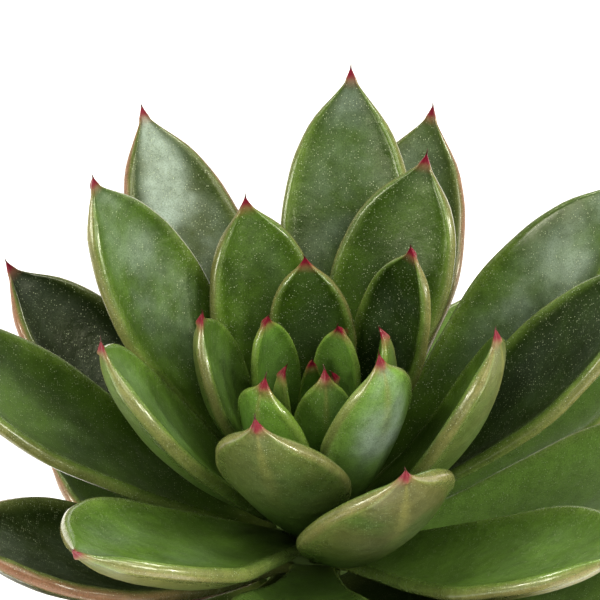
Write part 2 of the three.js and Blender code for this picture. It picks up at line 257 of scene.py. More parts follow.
class Recipe:
    """A material's nodes, with a short call for each kind that the finishes share."""

    def __init__(self, name: str) -> None:
        """Starts an empty recipe.

        Args:
            name: The material's name.
        """
        self.material = bpy.data.materials.new(name)
        self.material.use_nodes = True
        self.tree = self.material.node_tree
        self.shader = self.tree.nodes["Principled BSDF"]
        self.place = self.node("ShaderNodeTexCoord").outputs["Object"]

    def node(self, kind: str) -> bpy.types.Node:
        """Adds a bare node of a kind."""
        return self.tree.nodes.new(kind)

    def feed(self, socket: bpy.types.NodeSocket, value: Value) -> None:
        """Links a socket to another, or sets it to a plain value.

        Args:
            socket: The input.
            value: A socket, a number or a colour.
        """
        if isinstance(value, bpy.types.NodeSocket):
            self.tree.links.new(value, socket)
        elif isinstance(value, tuple):
            socket.default_value = (*value, 1.0)
        else:
            socket.default_value = value

    def sum(self, kind: str, a: Value, b: Value = 0.0, c: Value = 0.0) -> bpy.types.NodeSocket:
        """Does one step of arithmetic, held between 0 and 1 for no kind.

        Args:
            kind: The operation's name.
            a: The first value.
            b: The second value.
            c: The third value, where the operation has one.

        Returns:
            The result.
        """
        step = self.node("ShaderNodeMath")
        step.operation = kind
        for socket, value in zip(step.inputs, (a, b, c)):
            self.feed(socket, value)
        return step.outputs[0]

    def fade(self, value: Value, low: float, high: float, top: float = 1.0) -> bpy.types.NodeSocket:
        """Eases a value from 0 at low to top at high.

        Args:
            value: The value to ease.
            low: Where the result leaves 0.
            high: Where the result reaches top.
            top: The most that the result can be.

        Returns:
            The eased value.
        """
        span = self.node("ShaderNodeMapRange")
        span.interpolation_type = "SMOOTHSTEP"
        for name, number in (("Value", value), ("From Min", low), ("From Max", high), ("To Max", top)):
            self.feed(span.inputs[name], number)
        return span.outputs["Result"]

    def mix(self, share: Value, first: Value, second: Value, kind: str = "MIX") -> bpy.types.NodeSocket:
        """Lays a second colour over a first.

        Args:
            share: How much of the second shows.
            first: The colour below.
            second: The colour on top.
            kind: How they blend.

        Returns:
            The mixed colour.
        """
        blend = self.node("ShaderNodeMix")
        blend.data_type = "RGBA"
        blend.blend_type = kind
        self.feed(blend.inputs[0], share)
        self.feed(blend.inputs[6], first)
        self.feed(blend.inputs[7], second)
        return blend.outputs[2]

    def cloud(
        self, scale: float, detail: float = 3.0, rough: float = 0.5
    ) -> bpy.types.NodeSocket:
        """Cloudy noise from 0 to 1.

        Args:
            scale: Clouds in a metre.
            detail: How many finer layers it has.
            rough: How strong the finer layers are.

        Returns:
            The noise.
        """
        texture = self.node("ShaderNodeTexNoise")
        self.feed(texture.inputs["Vector"], self.place)
        self.feed(texture.inputs["Scale"], scale)
        self.feed(texture.inputs["Detail"], detail)
        self.feed(texture.inputs["Roughness"], rough)
        return texture.outputs["Fac"]

    def specks(self, scale: float) -> bpy.types.Node:
        """Scattered cells; its Distance is from each cell's middle and its Color is random.

        Args:
            scale: Cells in a metre.

        Returns:
            The texture node.
        """
        texture = self.node("ShaderNodeTexVoronoi")
        self.feed(texture.inputs["Vector"], self.place)
        self.feed(texture.inputs["Scale"], scale)
        return texture

    def chance(self, cells: bpy.types.Node, channel: int) -> bpy.types.NodeSocket:
        """Reads a random number for each cell, from one channel of its colour."""
        parts = self.node("ShaderNodeSeparateColor")
        self.feed(parts.inputs[0], cells.outputs["Color"])
        return parts.outputs[channel]

    def trait(self, name: str) -> tuple[bpy.types.NodeSocket, ...]:
        """Reads a trait of three values that the piece's points carry."""
        source = self.node("ShaderNodeAttribute")
        source.attribute_name = name
        parts = self.node("ShaderNodeSeparateXYZ")
        self.feed(parts.inputs[0], source.outputs["Vector"])
        return tuple(parts.outputs)

    def bump(self, height: Value, depth: float, under: Optional[Value] = None) -> bpy.types.NodeSocket:
        """Raises the surface by a height.

        Args:
            height: From 0 to 1.
            depth: How high 1 stands, in metres.
            under: A relief that this one lies on.

        Returns:
            The bent normal.
        """
        relief = self.node("ShaderNodeBump")
        self.feed(relief.inputs["Distance"], depth)
        self.feed(relief.inputs["Height"], height)
        if under is not None:
            self.feed(relief.inputs["Normal"], under)
        return relief.outputs["Normal"]


@dataclass(frozen=True)
class LeafFinish:
    """Waxy leaf skin: green faces, paler margins, a red spine and fine pale specks, with painted shade
    towards each leaf's base, painted shade on leaves listed dark, painted light on leaves listed light, and
    a grey bloom that is partly a painted sheen.
    """

    slot: str
    face: str
    # Deep green for random patches, also painted shade towards the base and on leaves listed dark.
    face_deep_and_shade: str
    under: str
    margin: str
    rim: str
    blush: str
    rim_strength: float
    # Painted light: the lighter green laid over leaves listed light.
    light: str = "#6f9440"
    keel: str = "#8f8c4e"
    # The grey bloom colour, partly real bloom and partly a painted sheen.
    bloom: str = "#95a59a"
    base: str = "#8d9a4c"
    spine: str = "#6d0c26"
    spine_glow: str = "#83503f"
    hair: str = "#3a1015"
    speck: str = "#b4c09a"
    pore: str = "#8a9a7a"
    scar: str = "#5b3a22"

    def make(self) -> bpy.types.Material:
        """Builds the material.

        Returns:
            The finished material.
        """
        r = Recipe(f"leaf_{self.slot}")
        along, edge, top = r.trait("leaf_place")
        tip, tone_and_painted_light, wear = r.trait("leaf_kind")
        wax_and_sheen, tan, _ = r.trait("leaf_skin_and_sheen")

        broad = r.cloud(70.0, 3.0, 0.55)
        mottle = r.cloud(420.0, 4.0, 0.6)
        grain = r.cloud(2600.0, 2.0, 0.6)

        face = r.mix(r.fade(broad, 0.32, 0.68), shade(self.face_deep_and_shade), shade(self.face))
        # Painted shade: the upper face darkens towards the leaf's base, where the leaves above shade the
        # heart of the rosette.
        face = r.mix(r.fade(along, 0.6, 0.1, 0.7), face, shade(self.face_deep_and_shade))
        under = r.mix(r.fade(mottle, 0.3, 0.75, 0.35), shade(self.under), shade(self.face))
        blushed = r.sum("MULTIPLY", r.fade(along, 0.3, 0.9), r.fade(broad, 0.2, 0.55))
        blushed = r.sum("MULTIPLY", blushed, tan)
        under = r.mix(blushed, under, shade(self.blush))
        colour = r.mix(r.fade(top, 0.3, 0.7), under, face)
        # Painted shade and painted light: a leaf listed dark gets its inner face multiplied darker, and a
        # leaf listed light gets a lighter green, standing in for how much lamp light reaches it.
        dark = r.sum("MULTIPLY", r.fade(tone_and_painted_light, 0.0, -1.0, 0.8), r.fade(edge, 0.95, 0.7))
        colour = r.mix(dark, colour, shade(self.face_deep_and_shade), "MULTIPLY")
        colour = r.mix(r.fade(tone_and_painted_light, 0.0, 1.0, 0.8), colour, shade(self.light))
        # Partly real bloom and partly a painted sheen: streaky grey patches in the middle of the face stand
        # in for reflections of the lamps on the leaves listed with bloom.
        middle = r.sum("MULTIPLY", r.fade(edge, 0.85, 0.3), r.fade(along, 0.3, 0.7))
        streaks = r.fade(r.cloud(80.0, 4.0, 0.55), 0.28, 0.74)
        wax_and_sheen_mask = r.sum("MULTIPLY", r.sum("MULTIPLY", middle, streaks), wax_and_sheen)
        colour = r.mix(wax_and_sheen_mask, colour, shade(self.bloom))

        wander = r.sum("MULTIPLY_ADD", r.cloud(140.0), 0.1, -0.05)
        edged = r.sum("ADD", edge, wander)
        band = r.fade(edged, 0.72, 1.0, 0.34)
        colour = r.mix(band, colour, shade(self.margin))
        line = r.sum("MULTIPLY", r.fade(edged, 0.9, 1.0), r.fade(along, 0.25, 0.75, self.rim_strength))
        colour = r.mix(line, colour, shade(self.rim))
        colour = r.mix(r.fade(along, 0.14, 0.0, 0.35), colour, shade(self.base))

        keel = r.sum("MULTIPLY", r.fade(edge, 0.2, 0.0), r.fade(along, 0.5, 0.95, 0.45))
        keel = r.sum("MULTIPLY", keel, r.fade(top, 0.5, 0.2))
        colour = r.mix(keel, colour, shade(self.keel))

        colour = r.mix(r.fade(mottle, 0.35, 0.7, 0.22), colour, (0.035, 0.07, 0.012), "MULTIPLY")

        cells = r.cloud(3600.0, 2.0, 0.7)
        colour = r.mix(r.fade(cells, 0.42, 0.68, 0.5), colour, shade(self.pore), "MULTIPLY")
        dots = r.specks(3000.0)
        dot = r.fade(dots.outputs["Distance"], 0.36, 0.14)
        few = r.fade(r.chance(dots, 0), 0.5, 1.0)
        dot = r.sum("MULTIPLY", dot, r.sum("MULTIPLY", few, r.fade(mottle, 0.28, 0.6, 0.8)))
        colour = r.mix(dot, colour, shade(self.speck))

        marks = r.specks(62.0)
        chosen = r.chance(marks, 1)
        rough_edge = r.sum("MULTIPLY_ADD", r.cloud(900.0), 0.06, marks.outputs["Distance"])
        mark = r.sum("MULTIPLY", r.fade(rough_edge, 0.085, 0.055), r.fade(chosen, 0.9, 0.93, 0.8))
        mark = r.sum("MULTIPLY", mark, wear)
        colour = r.mix(mark, colour, shade(self.scar))

        uneven = r.sum("MULTIPLY_ADD", mottle, 1.6, -0.8)
        near = r.sum("ADD", tip, uneven)
        colour = r.mix(r.fade(near, 4.6, 1.4, 0.6), colour, shade(self.spine_glow))
        colour = r.mix(r.fade(near, 2.6, 1.2), colour, shade(self.spine))
        colour = r.mix(r.fade(tip, 0.3, -0.5), colour, shade(self.hair))
        r.feed(r.shader.inputs["Base Color"], colour)

        scuffs = r.cloud(230.0, 5.0, 0.7)
        dull = r.sum("MULTIPLY_ADD", scuffs, 0.26, 0.2)
        dull = r.sum("MULTIPLY_ADD", grain, 0.08, dull)
        dull = r.sum("MULTIPLY_ADD", wax_and_sheen_mask, 0.15, dull)
        sheen = r.fade(edged, 0.62, 0.9, 0.12)
        r.feed(r.shader.inputs["Roughness"], r.sum("SUBTRACT", dull, sheen))
        r.feed(r.shader.inputs["Coat Weight"], r.fade(edged, 0.7, 0.92, 0.4))
        r.shader.inputs["Coat Roughness"].default_value = 0.14
        r.shader.inputs["IOR"].default_value = 1.45
        shaded = r.fade(tone_and_painted_light, 0.0, -1.0)
        r.feed(r.shader.inputs["Specular IOR Level"], r.sum("MULTIPLY_ADD", shaded, -0.32, 0.5))
        r.shader.inputs["Specular Tint"].default_value = (0.95, 1.0, 0.72, 1.0)

        skin = r.bump(grain, 0.00003)
        soft = r.bump(mottle, 0.00012, skin)
        r.feed(r.shader.inputs["Normal"], r.bump(r.cloud(90.0, 3.0, 0.6), 0.0005, soft))
        return r.material


@dataclass(frozen=True)
class ClayFinish:
    """Fired clay with a pale mineral bloom, darker damp patches and fine sandy grain."""

    slot: str = "clay"
    clay: str = "#8f4c2e"
    burnt: str = "#743a22"
    dust: str = "#a5826b"

    def make(self) -> bpy.types.Material:
        """Builds the material.

        Returns:
            The finished material.
        """
        r = Recipe("pot_clay")
        height, _, _ = r.trait("turned_place")
        broad = r.cloud(38.0, 5.0, 0.62)
        sand = r.cloud(1700.0, 3.0, 0.7)
        colour = r.mix(r.fade(broad, 0.3, 0.75), shade(self.burnt), shade(self.clay))
        bloom = r.fade(r.cloud(75.0, 6.0, 0.75), 0.45, 0.8, 0.6)
        low = r.sum("ADD", r.fade(height, 0.45, 0.0, 0.7), 0.3)
        colour = r.mix(r.sum("MULTIPLY", bloom, low), colour, shade(self.dust))
        colour = r.mix(r.fade(sand, 0.55, 0.75, 0.35), colour, shade(self.burnt))
        grit = r.specks(900.0)
        colour = r.mix(r.fade(grit.outputs["Distance"], 0.16, 0.08, 0.3), colour, shade(self.dust))
        r.feed(r.shader.inputs["Base Color"], colour)
        r.feed(r.shader.inputs["Roughness"], r.sum("MULTIPLY_ADD", sand, 0.2, 0.72))
        r.shader.inputs["Specular IOR Level"].default_value = 0.3
        fine = r.bump(sand, 0.00012)
        r.feed(r.shader.inputs["Normal"], r.bump(r.cloud(240.0, 4.0, 0.6), 0.0003, fine))
        return r.material


@dataclass(frozen=True)
class MixFinish:
    """Peaty potting mix, or the pale grit that is stirred into it."""

    name: str
    dark: str
    light: str
    slot: str = "potting_mix"

    def make(self) -> bpy.types.Material:
        """Builds the material.

        Returns:
            The finished material.
        """
        r = Recipe(self.name)
        crumb = r.cloud(900.0, 5.0, 0.7)
        colour = r.mix(r.fade(crumb, 0.35, 0.7), shade(self.dark), shade(self.light))
        patch = r.fade(r.cloud(160.0), 0.4, 0.7, 0.4)
        colour = r.mix(patch, colour, shade(self.dark))
        r.feed(r.shader.inputs["Base Color"], colour)
        r.feed(r.shader.inputs["Roughness"], r.sum("MULTIPLY_ADD", crumb, 0.15, 0.82))
        r.shader.inputs["Specular IOR Level"].default_value = 0.2
        r.feed(r.shader.inputs["Normal"], r.bump(crumb, 0.0004))
        return r.material


@dataclass(frozen=True)
class StemFinish:
    """Corky grey-brown bark that turns into green crown tissue higher up."""

    slot: str = "stem"
    bark: str = "#7b6a4c"
    cork: str = "#4d3b28"
    crown: str = "#4c6326"

    def make(self) -> bpy.types.Material:
        """Builds the material.

        Returns:
            The finished material.
        """
        r = Recipe("stem_bark")
        height, _, _ = r.trait("turned_place")
        cracks = r.cloud(520.0, 5.0, 0.7)
        colour = r.mix(r.fade(cracks, 0.35, 0.65), shade(self.cork), shade(self.bark))
        climb = r.sum("MULTIPLY_ADD", cracks, 0.1, height)
        colour = r.mix(r.fade(climb, 0.44, 0.66), colour, shade(self.crown))
        r.feed(r.shader.inputs["Base Color"], colour)
        r.feed(r.shader.inputs["Roughness"], r.sum("MULTIPLY_ADD", cracks, 0.2, 0.6))
        r.feed(r.shader.inputs["Normal"], r.bump(cracks, 0.0004))
        return r.material


class LeafAge(Enum):
    """The three ages of leaf, by the record's slot, each with its finish."""

    YOUNG = LeafFinish(
        slot="young_leaf", face="#4e7718", face_deep_and_shade="#35550d", under="#567e2b", margin="#889a4a",
        rim="#75683a", blush="#7a803e", rim_strength=0.1,
    )
    MATURE = LeafFinish(
        slot="mature_leaf", face="#446016", face_deep_and_shade="#2d440a", under="#526d30", margin="#849650",
        rim="#80604a", blush="#7e6a46", rim_strength=0.35,
    )
    OLD = LeafFinish(
        slot="old_leaf", face="#41541e", face_deep_and_shade="#2d4010", under="#58653a", margin="#878557",
        rim="#8a5848", blush="#93766a", rim_strength=0.75,
    )


# ---- Leaves -----------------------------------------------------------------------------


@dataclass
class LeafCage:
    """A leaf's solid, read back as stations along its length.

    Each station has the middle of the line between the margins, the ways across and up, the
    half width and the depth from that line down to the underside.
    """

    share: np.ndarray
    centre: np.ndarray
    across: np.ndarray
    up: np.ndarray
    half_width: np.ndarray
    depth: np.ndarray
    length: float

    @staticmethod
    def rings_of(mesh: bpy.types.Mesh) -> tuple[list[np.ndarray], np.ndarray]:
        """Finds the rings of points from the tip back to the base.

        Args:
            mesh: The leaf's solid.

        Returns:
            The rings, from the one nearest the tip, each in order round the leaf, and the tip.
        """
        shell = bmesh.new()
        shell.from_mesh(mesh)
        bmesh.ops.remove_doubles(shell, verts=shell.verts, dist=WELD)
        most = max(len(v.link_edges) for v in shell.verts)
        poles = [v for v in shell.verts if len(v.link_edges) == most]

        def stands_out(pole: bmesh.types.BMVert) -> float:
            """How far a pole stands out of its ring of neighbours."""
            near = [e.other_vert(pole).co for e in pole.link_edges]
            middle = sum(near, Vector()) / len(near)
            spread = max((p - middle).length for p in near)
            return (pole.co - middle).length / spread

        tip = max(poles, key=stands_out)
        seen = {tip}
        level = [tip]
        rings: list[np.ndarray] = []
        while True:
            beyond = {e.other_vert(v) for v in level for e in v.link_edges} - seen
            if len(beyond) < most:
                break
            seen |= beyond
            walk = [next(iter(sorted(beyond, key=lambda v: v.index)))]
            while len(walk) < len(beyond):
                steps = [e.other_vert(walk[-1]) for e in walk[-1].link_edges]
                walk.append(next(v for v in steps if v in beyond and v not in walk))
            rings.append(np.array([v.co[:] for v in walk]))
            level = list(beyond)
        point = np.array(tip.co[:])
        shell.free()
        return rings, point

    @staticmethod
    def set_out(ring: np.ndarray, toward_tip: np.ndarray) -> np.ndarray:
        """Turns a ring so that it starts at the middle of its upper face.

        Args:
            ring: The points of a wide ring, in order.
            toward_tip: The way to the leaf's tip.

        Returns:
            The same points, from the upper middle round by way of the right margin.
        """
        half = len(ring) // 2
        spans = [np.linalg.norm(ring[i] - ring[i + half]) for i in range(half)]
        right = int(np.argmax(spans))
        middle = (ring[right] + ring[right + half]) / 2
        quarter = half // 2
        first = (right - quarter) % len(ring)
        second = (right + quarter) % len(ring)
        if np.linalg.norm(ring[first] - middle) > np.linalg.norm(ring[second] - middle):
            first = second
        ring = np.roll(ring, -first, axis=0)
        turn = np.cross(ring[0] - ring[half], ring[quarter] - middle)
        if turn @ toward_tip > 0:
            ring = np.roll(ring[::-1], 1, axis=0)
        return ring

    @staticmethod
    def match(ring: np.ndarray, model: np.ndarray) -> np.ndarray:
        """Turns a ring to lie point for point along the one beside it.

        Args:
            ring: The ring to turn.
            model: The ring beside it, already set out.

        Returns:
            The ring's points, set out as the model's are.
        """
        choices = [
            np.roll(way, k, axis=0) for way in (ring, ring[::-1]) for k in range(len(ring))
        ]
        return min(choices, key=lambda points: float(((points - model) ** 2).sum()))

    @classmethod
    def read(cls, mesh: bpy.types.Mesh) -> "LeafCage":
        """Reads a leaf's solid.

        Args:
            mesh: The solid's mesh.

        Returns:
            The leaf's stations, from base to tip.
        """
        rings, tip = cls.rings_of(mesh)
        widest = max(range(len(rings)), key=lambda i: np.ptp(rings[i], axis=0).max())
        rings[widest] = cls.set_out(rings[widest], tip - rings[widest].mean(axis=0))
        for i in range(widest + 1, len(rings)):
            rings[i] = cls.match(rings[i], rings[i - 1])
        for i in range(widest - 1, -1, -1):
            rings[i] = cls.match(rings[i], rings[i + 1])
        rings.reverse()

        quarter = len(rings[0]) // 4
        right = np.array([ring[quarter] for ring in rings])
        left = np.array([ring[3 * quarter] for ring in rings])
        below = np.array([ring[2 * quarter] for ring in rings])
        centre = (right + left) / 2
        across = unit(right - left)
        up = centre - below
        up = unit(up - (up * across).sum(axis=1, keepdims=True) * across)
        depth = ((centre - below) * up).sum(axis=1)
        half_width = np.linalg.norm(right - left, axis=1) / 2

        centre = np.vstack([centre, tip])
        run = np.concatenate([[0.0], np.cumsum(np.linalg.norm(np.diff(centre, axis=0), axis=1))])
        return cls(
            share=run / run[-1],
            centre=centre,
            across=np.vstack([across, across[-1:]]),
            up=np.vstack([up, up[-1:]]),
            half_width=np.append(half_width, 0.0),
            depth=np.append(depth, 0.0),
            length=float(run[-1]),
        )


@dataclass
class LeafForm:
    """The fleshy shape that is drawn over a leaf's cage. Sizes are metres or shares."""

    rows: int = 40
    tip_rows: int = 16
    hair_rows: int = 5
    half_sides: int = 24
    tip_zone: float = 6.5 * MM
    heel: float = 1.3 * MM
    hair: float = 1.25 * MM
    roll_share: float = 0.064
    most_roll: float = 1.5 * MM
    hollow: float = 0.3
    dish_power: float = 2.3
    top_swell: float = 1.5
    under_swell: float = 0.8
    point_draw: float = 0.5
    point_reach: float = 0.46
    wave: float = 0.3 * MM
    hook: float = 1.7 * MM
    hook_reach: float = 6.0 * MM
    full_size: float = 9 * MM
    spine_width: float = 0.22 * MM
    spine_spread: float = 0.36
    spine_fade: tuple[float, float] = (2 * MM, 4 * MM)
    heel_flare: float = 0.22
    heel_reach: float = 2.2 * MM

    def places(self, length: float) -> np.ndarray:
        """Distances back from the tip at which the leaf gets a ring, negative in the hair."""
        body = np.linspace(length + self.heel, self.tip_zone, self.rows)
        tip = self.tip_zone * (1 - np.linspace(0, 1, self.tip_rows + 1)[1:]) ** 1.4
        hair = -self.hair * np.linspace(0, 1, self.hair_rows + 1)[1:]
        return np.concatenate([body, tip, hair])

    def section(
        self, half: np.ndarray, deep: np.ndarray, along: np.ndarray, most: float
    ) -> tuple[np.ndarray, np.ndarray, np.ndarray, np.ndarray]:
        """Draws the rings' outlines in the leaf's own directions.

        Args:
            half: Half widths, one for each ring.
            deep: Depths below the margins, one for each ring.
            along: Shares along the leaf, one for each ring.
            most: The leaf's greatest half width.

        Returns:
            How far across and up each point lies, how near the margin it is from 0 to 1, and
            whether it is on the upper face, 1, or the underside, 0.
        """
        swing = np.linspace(-math.pi / 2, math.pi / 2, self.half_sides + 1)
        upper = np.sin(swing)
        lower = np.sin(swing[::-1])[1:-1]
        place = np.concatenate([upper, lower])[None, :]
        on_top = np.concatenate([np.ones(len(upper)), np.zeros(len(lower))])[None, :]
        sign = np.where(on_top > 0.5, 1.0, -1.0)

        half, deep = half[:, None], deep[:, None]
        roll = np.minimum(np.minimum(self.roll_share * 2 * most, self.most_roll), 0.36 * half)
        roll = np.minimum(roll, 0.42 * deep)
        across = place * half
        inner = np.maximum(half - roll, 1e-9)
        reach = np.abs(across)
        inward = np.clip(reach / inner, 0.0, 1.0)
        cap = np.sqrt(np.clip(1 - (np.maximum(reach - inner, 0.0) / roll) ** 2, 0.0, 1.0))
        dish = self.hollow * deep * (eased(along, 0.02, 0.4) - 0.55 * eased(along, 0.8, 1.0))[:, None]
        drop = -0.55 * roll
        thick = np.maximum(deep + drop + roll - dish, 2.05 * roll)
        camber = thick / 2 - roll + dish
        keel = 0.85 * eased(along, 0.35, 0.85)[:, None]
        top_plump = (1 - inward**2) ** self.top_swell
        plump = (1 - inward**2) ** self.under_swell
        ridge = 1 - np.sqrt(inward**2 + 0.004) / math.sqrt(1.004)
        swell = np.where(on_top > 0.5, top_plump, (1 - keel) * plump + keel * ridge)
        body = roll * cap + (thick / 2 - roll) * swell
        up = drop + camber * (inward**self.dish_power - 1) + sign * body
        margin = np.clip(reach / np.maximum(half, 1e-9), 0, 1)
        face = np.where(margin > 0.999, 0.5, on_top) * np.ones_like(up)
        return across, up, margin, face

    def draw(
        self, cage: LeafCage, number: int, tone_and_painted_light: Optional[float], wax_and_sheen: float, tan: float
    ) -> tuple[np.ndarray, list[tuple[int, ...]], dict[str, np.ndarray]]:
        """Draws one leaf.

        Args:
            cage: The leaf's stations.
            number: The leaf's number, which seeds its small differences.
            tone_and_painted_light: How light its green is, from -1 to 1, or none to leave it to chance; a
                listed value below 0 is painted shade and one above 0 is painted light, set for how the lamps
                reach the leaf.
            wax_and_sheen: How much grey bloom it carries, from 0 to 1, partly real bloom and partly a
                painted sheen.
            tan: How far sun has tanned its underside, from 0 to 1.

        Returns:
            Its points, its faces and the traits that its finish reads.
        """
        chance = np.random.default_rng(900 + number)
        back = self.places(cage.length)
        share = 1 - back / cage.length
        inside = np.clip(share, 0.0, 1.0)
        centre = along_curve(cage.share, cage.centre, inside)
        across = unit(along_curve(cage.share, cage.across, inside))
        up = along_curve(cage.share, cage.up, inside)
        up = unit(up - (up * across).sum(axis=1, keepdims=True) * across)
        half = through(cage.share, cage.half_width[:, None], inside)[:, 0]
        deep = through(cage.share, cage.depth[:, None], inside)[:, 0]
        ahead = unit(np.gradient(centre[: -self.hair_rows], axis=0))[-1]
        # On the six shortest leaves both rings lie at the base. Then this isn't a number, and
        # neither are the places of the heel's rings.
        start = unit(centre[2:3] - centre[1:2])[0]
        lean = unit(chance.normal(size=3))
        small = min(1.0, cage.half_width.max() / self.full_size)
        hook = self.hook * small
        reach = self.hook_reach * small
        rise = up[-1]
        for i, gone in enumerate(back):
            bend = max(0.0, 1 - max(gone, 0.0) / reach)
            centre[i] += rise * hook * bend**2
            if gone < 0:
                out = unit(ahead + rise * 2 * hook / reach)
                centre[i] += out * -gone + lean * 0.3 * gone**2 / self.hair
            elif gone > cage.length:
                centre[i] -= start * (gone - cage.length)

        size = cage.half_width.max()
        gone = np.maximum(back, 0.0)
        draw = 1 - self.point_draw * np.exp(-((gone / (self.point_reach * size)) ** 2))
        spine = self.spine_width + self.spine_spread * gone
        spine = np.where(back < 0, self.spine_width * (1 + 0.85 * back / self.hair), spine)
        spine = spine * (1 - eased(gone, *self.spine_fade))
        half = ((half * draw) ** 4 + spine**4) ** 0.25
        deep = ((deep * draw) ** 4 + (1.5 * spine) ** 4) ** 0.25
        from_heel = cage.length + self.heel - back
        half = half * (1 + self.heel_flare * np.exp(-((from_heel / self.heel_reach) ** 2)))

        phases = chance.uniform(0, 2 * math.pi, size=4)
        half = half * (1 + 0.014 * np.sin(9 * inside + phases[0]) * np.sin(math.pi * inside))
        x, y, margin, face = self.section(half, deep, inside, size)
        window = (np.sin(math.pi * inside) ** 1.2)[:, None]
        scale = self.wave * size / (13 * MM)
        for side, phase in ((1.0, phases[1]), (-1.0, phases[2])):
            ripple = scale * np.sin(8.5 * inside + phase)[:, None] * window
            y = y + np.where(x * side > 0, margin**2 * ripple, 0.0)

        points = centre[:, None, :] + x[:, :, None] * across[:, None, :] + y[:, :, None] * up[:, None, :]
        rings, sides = x.shape
        points = points.reshape(-1, 3)
        faces = ring_faces(rings, sides)
        faces = [face_[::-1] for face_ in faces]
        heel = points[:sides].mean(axis=0)
        end = points[-sides:].mean(axis=0)
        points = np.vstack([points, heel, end])
        first, last = rings * sides, rings * sides + 1
        for i in range(sides):
            j = (i + 1) % sides
            faces.append((first, i, j))
            faces.append((last, (rings - 1) * sides + j, (rings - 1) * sides + i))

        along = np.repeat(inside, sides)
        gone_mm = np.repeat(back / MM, sides)
        place = np.column_stack([along, margin.ravel(), face.ravel()])
        place = np.vstack([place, [0.0, 0.0, 0.5], [1.0, 0.0, 0.5]])
        drawn = chance.uniform(-0.6, 0.6)
        tone_and_painted_light = drawn if tone_and_painted_light is None else tone_and_painted_light
        wear = 1.0 if chance.uniform() < 0.6 else 0.0
        kind = np.column_stack([gone_mm, np.full(len(gone_mm), tone_and_painted_light), np.full(len(gone_mm), wear)])
        kind = np.vstack([kind, [back[0] / MM, tone_and_painted_light, wear], [back[-1] / MM, tone_and_painted_light, wear]])
        skin = np.tile([wax_and_sheen, tan, 0.0], (len(points), 1))
        return points, faces, {"leaf_place": place, "leaf_kind": kind, "leaf_skin_and_sheen": skin}


# How single leaves differ. Their green runs from dark, -1, which is painted shade, to light, 1, which is
# painted light;
# the listed values are set for how much lamp light reaches each leaf. Their grey bloom, from 0 to 1, is
# partly real bloom and partly a painted sheen, and the tan of their undersides is from 0 to 1.
LEAF_TONES_AND_PAINTED_LIGHT = {
    9: -0.3, 12: 0.0, 13: -0.5, 14: 1.0, 15: 0.28, 16: -0.85, 17: -0.2, 18: 0.0, 19: -0.2, 20: 0.35,
    21: -0.4, 22: -0.4, 24: -1.0, 25: 0.32, 26: -0.5, 27: 0.38, 28: -0.3, 29: -0.3, 30: 1.0,
    31: -0.5, 32: 0.8, 33: -1.0, 36: -1.0, 37: 0.9,
}
LEAF_WAX_AND_SHEEN = {14: 1.0, 20: 0.12, 23: 0.4, 25: 0.15, 26: 0.34, 29: 0.5, 31: 1.0, 34: 0.25}
LEAF_TANS = {9: 0.2, 12: 0.15, 14: 0.1, 17: 0.35, 19: 0.4, 20: 0.3, 22: 0.6, 25: 0.8, 27: 1.0, 33: 0.35}
PLAIN_WAX_AND_SHEEN = 0.06
PLAIN_TAN = 0.5


@dataclass
class Rosette:
    """All the leaves, from the bud out to the oldest."""

    form: LeafForm = field(default_factory=LeafForm)
    tones_and_painted_light: dict[int, float] = field(default_factory=lambda: dict(LEAF_TONES_AND_PAINTED_LIGHT))
    wax_and_sheen_levels: dict[int, float] = field(default_factory=lambda: dict(LEAF_WAX_AND_SHEEN))
    tans: dict[int, float] = field(default_factory=lambda: dict(LEAF_TANS))

    def build(self) -> list[bpy.types.Object]:
        """Draws every leaf over its solid and dresses it by its age.

        Returns:
            The leaves.
        """
        finishes = {age.value.slot: age.value.make() for age in LeafAge}
        slots = {row["node"]: row["material_slot"] for row in frame["record"]["subparts"]}
        leaves = []
        for node in sorted(n for n in frame["nodes"] if n.startswith("leaf_")):
            cage = LeafCage.read(frame["nodes"][node].data)
            number = int(node.split("_")[1])
            tone_and_painted_light, wax_and_sheen = self.tones_and_painted_light.get(number), self.wax_and_sheen_levels.get(number, PLAIN_WAX_AND_SHEEN)
            tan = self.tans.get(number, PLAIN_TAN)
            points, faces, traits = self.form.draw(cage, number, tone_and_painted_light, wax_and_sheen, tan)
            slot = slots[node]
            leaves.append(add_piece(f"fleshy_{node}", points, faces, finishes[slot], node, traits))
        return leaves


# ---- Turned pieces ----------------------------------------------------------------------


def profile_of(node: str) -> list[tuple[float, float]]:
    """Reads a turned solid's profile back from its mesh.

    Args:
        node: The solid's name.

    Returns:
        Radius and height of each corner, walked along the solid's surface. A profile that
        ends on the axis starts at its bottom; a closed one starts anywhere.
    """
    shell = bmesh.new()
    shell.from_mesh(frame["nodes"][node].data)
    bmesh.ops.remove_doubles(shell, verts=shell.verts, dist=WELD)

    def key(vertex: bmesh.types.BMVert) -> tuple[float, float]:
        """Radius and height, rounded so that a ring's corners agree."""
        radius = math.hypot(vertex.co.x, vertex.co.y)
        return (round(radius, 5), round(vertex.co.z, 5))

    beside: dict[tuple[float, float], set[tuple[float, float]]] = {}
    for edge in shell.edges:
        a, b = (key(v) for v in edge.verts)
        if a != b:
            beside.setdefault(a, set()).add(b)
            beside.setdefault(b, set()).add(a)
    shell.free()
    ends = sorted((p for p in beside if p[0] < ON_AXIS), key=lambda p: p[1])
    walk = [ends[0] if ends else min(beside, key=lambda p: (p[1], p[0]))]
    while True:
        ahead = [p for p in beside[walk[-1]] if p not in walk]
        if not ahead:
            return walk
        walk.append(min(ahead, key=lambda p: math.dist(p, walk[-1])))


def refine(profile: list[tuple[float, float]], step: float) -> list[tuple[float, float]]:
    """Adds points along a profile's long runs.

    Args:
        profile: Radius and height of each corner.
        step: The longest run that is left.

    Returns:
        The finer profile.
    """
    fine = [profile[0]]
    for (r0, z0), (r1, z1) in zip(profile, profile[1:]):
        count = max(1, math.ceil(math.dist((r0, z0), (r1, z1)) / step))
        fine += [(r0 + (r1 - r0) * i / count, z0 + (z1 - z0) * i / count) for i in range(1, count + 1)]
    return fine


